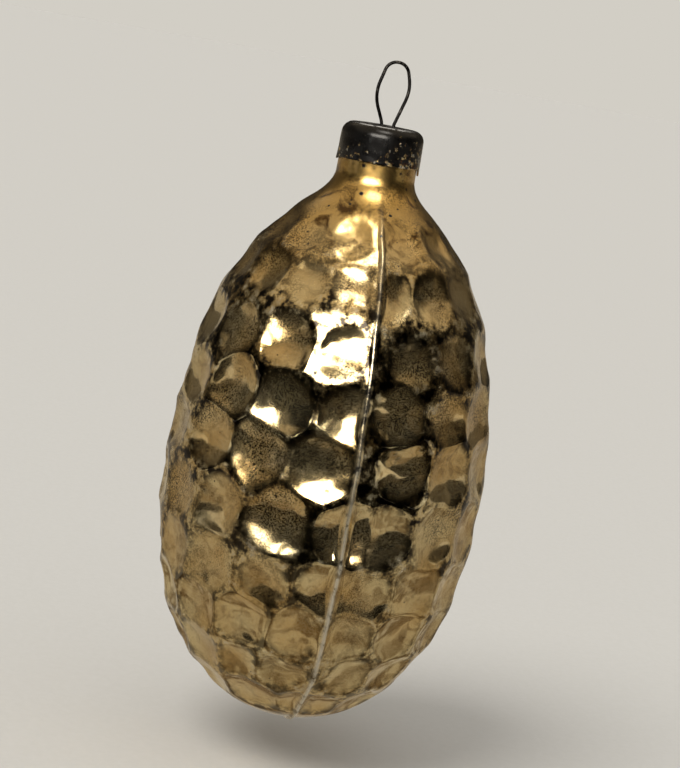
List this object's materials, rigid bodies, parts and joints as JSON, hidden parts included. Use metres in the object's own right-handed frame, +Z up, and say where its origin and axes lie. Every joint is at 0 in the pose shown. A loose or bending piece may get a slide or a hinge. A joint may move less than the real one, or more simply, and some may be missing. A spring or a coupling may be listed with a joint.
{
  "type": "glass ornament",
  "caption": "Egg-shaped hanging glass ornament with honeycomb dimples, an open neck, a push-on metal cap and a bent wire loop.",
  "frame": {"origin": "inside top of the wire loop, where a hook or thread bears", "axes": "+Z up along the ornament's axis, the wire loop lies in the XZ plane, the mould's parting lines at -Y and +Y"},
  "size_m": [0.0491, 0.0491, 0.102],
  "materials": {
    "gold_mirror_glass": "silvered inside, gold lacquered outside, worn",
    "blackened_sheet": "glossy black, chipped at the rim",
    "dark_wire": "drawn, darkened"
  },
  "bodies": {
    "hanger": {"wire_hanger": "dark_wire"},
    "cap": {"cap": "blackened_sheet"},
    "glass": {"glass_body": "gold_mirror_glass"}
  },
  "joints": [
    {"name": "loop_rock", "type": "hinge", "parent": "hanger", "child": "cap", "pos_m": [0, 0, -0.00925], "axis": [1, 0, 0], "range_deg": [-15, 15]},
    {"name": "cap_pull", "type": "slide", "parent": "cap", "child": "glass", "axis": [0, 0, -1], "range_m": [0, 0.005]}
  ]
}
